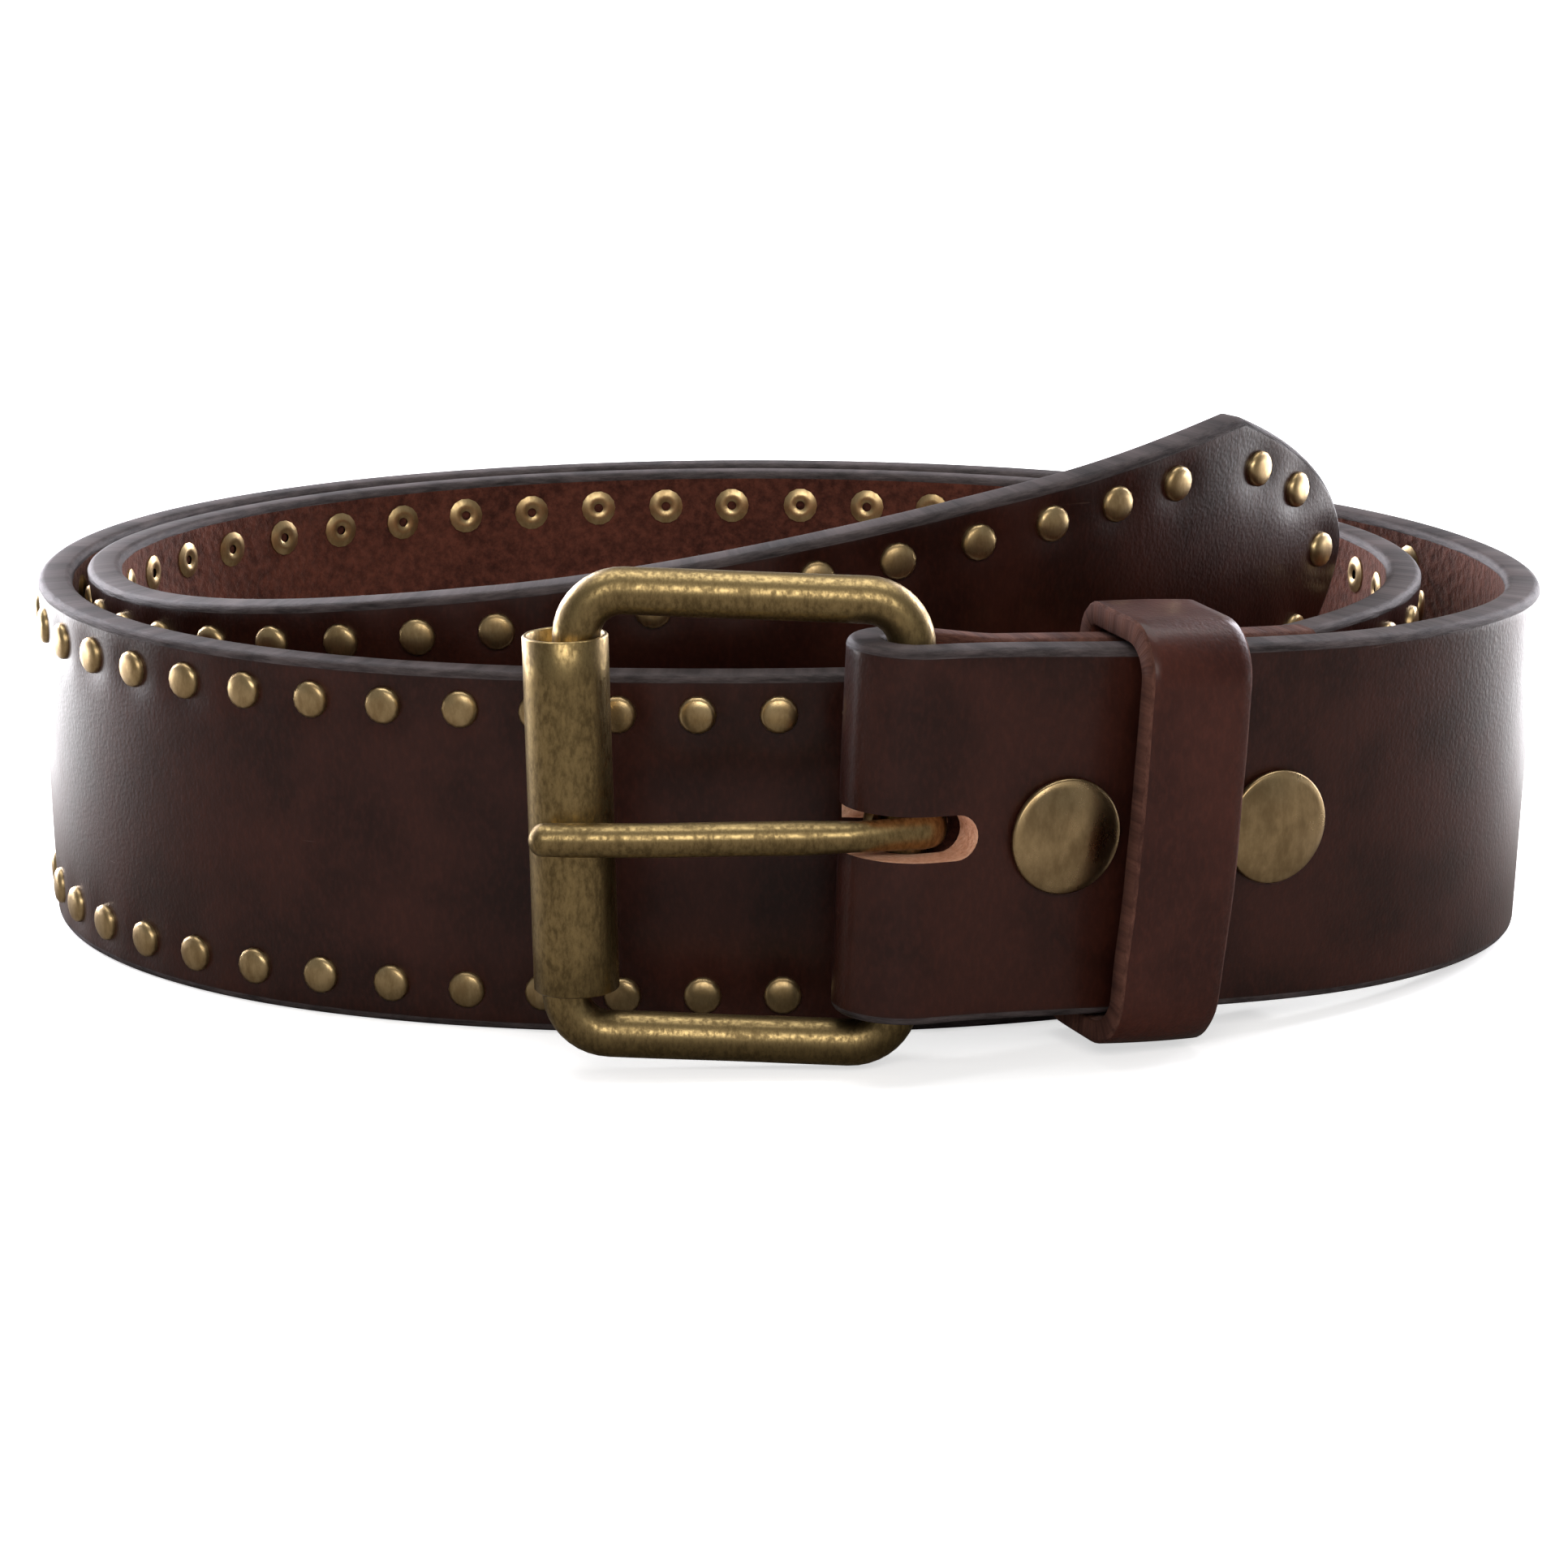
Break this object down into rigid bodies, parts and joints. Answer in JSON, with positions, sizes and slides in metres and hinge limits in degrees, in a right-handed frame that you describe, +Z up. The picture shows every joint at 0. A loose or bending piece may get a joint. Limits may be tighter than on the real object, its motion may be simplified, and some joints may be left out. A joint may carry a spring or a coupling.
{
  "type": "leather belt",
  "caption": "Coiled leather belt standing on its edge, with a roller buckle and prong, a press-studded flap, a stapled leather keeper, edge rivets and a raised pointed end.",
  "frame": {"origin": "under the middle of the coil's box, on the surface that the belt's lower edge stands on", "axes": "+Z up across the strap; +X to the right along the front with the buckle facing the viewer; +Y to the back of the coil, so the buckle faces -Y"},
  "size_m": [0.1738, 0.1442, 0.06],
  "materials": {
    "strap_leather": "dark reddish brown, satin, with burnished edges and a rough back",
    "keeper_leather": "dark reddish brown, satin, with raw cut sides",
    "antique_brass": "mottled olive brass, worn bright at its corners",
    "cap_brass": "antiqued brass, brushed in rings",
    "rivet_brass": "warm polished brass, a little worn",
    "steel": "plain staple wire"
  },
  "bodies": {
    "strap_body": {"strap": "strap_leather", "press_cap_1": "cap_brass", "press_socket_1": "cap_brass", "press_stud_1": "cap_brass", "press_eyelet_1": "cap_brass", "press_cap_2": "cap_brass", "press_socket_2": "cap_brass", "press_stud_2": "cap_brass", "press_eyelet_2": "cap_brass", "rivet_01": "rivet_brass", "rivet_02": "rivet_brass", "rivet_03": "rivet_brass", "rivet_04": "rivet_brass", "rivet_05": "rivet_brass", "rivet_06": "rivet_brass", "rivet_07": "rivet_brass", "rivet_08": "rivet_brass", "rivet_09": "rivet_brass", "rivet_10": "rivet_brass", "rivet_11": "rivet_brass", "rivet_12": "rivet_brass", "rivet_13": "rivet_brass", "rivet_14": "rivet_brass", "rivet_15": "rivet_brass", "rivet_16": "rivet_brass", "rivet_17": "rivet_brass", "rivet_18": "rivet_brass", "rivet_19": "rivet_brass", "rivet_20": "rivet_brass", "rivet_21": "rivet_brass", "rivet_22": "rivet_brass", "rivet_23": "rivet_brass", "rivet_24": "rivet_brass", "rivet_25": "rivet_brass", "rivet_26": "rivet_brass", "rivet_27": "rivet_brass", "rivet_28": "rivet_brass", "rivet_29": "rivet_brass", "rivet_30": "rivet_brass", "rivet_31": "rivet_brass", "rivet_32": "rivet_brass", "rivet_33": "rivet_brass"},
    "buckle": {"buckle_frame": "antique_brass"},
    "prong_body": {"prong": "antique_brass"},
    "roller_body": {"roller": "antique_brass"},
    "keeper": {"keeper_loop": "keeper_leather", "keeper_staple_1": "steel", "keeper_staple_2": "steel"}
  },
  "joints": [
    {"name": "buckle_swing", "type": "hinge", "parent": "strap_body", "child": "buckle", "pos_m": [0.01273, -0.06369, 0.02664], "axis": [0.0504, 0.019, 0.9985], "range_deg": [-6, 25]},
    {"name": "prong_swing", "type": "hinge", "parent": "buckle", "child": "prong_body", "pos_m": [0.01273, -0.06369, 0.02664], "axis": [0.0504, 0.019, 0.9985], "range_deg": [0, 32]},
    {"name": "roller_spin", "type": "hinge", "parent": "buckle", "child": "roller_body", "pos_m": [-0.02203, -0.06366, 0.02839], "axis": [-0.0124, 0.019, 0.9997], "continuous": true},
    {"name": "keeper_slide", "type": "slide", "parent": "strap_body", "child": "keeper", "axis": [0.9082, 0.4106, -0.0816], "range_m": [-0.005, 0.0025]}
  ]
}
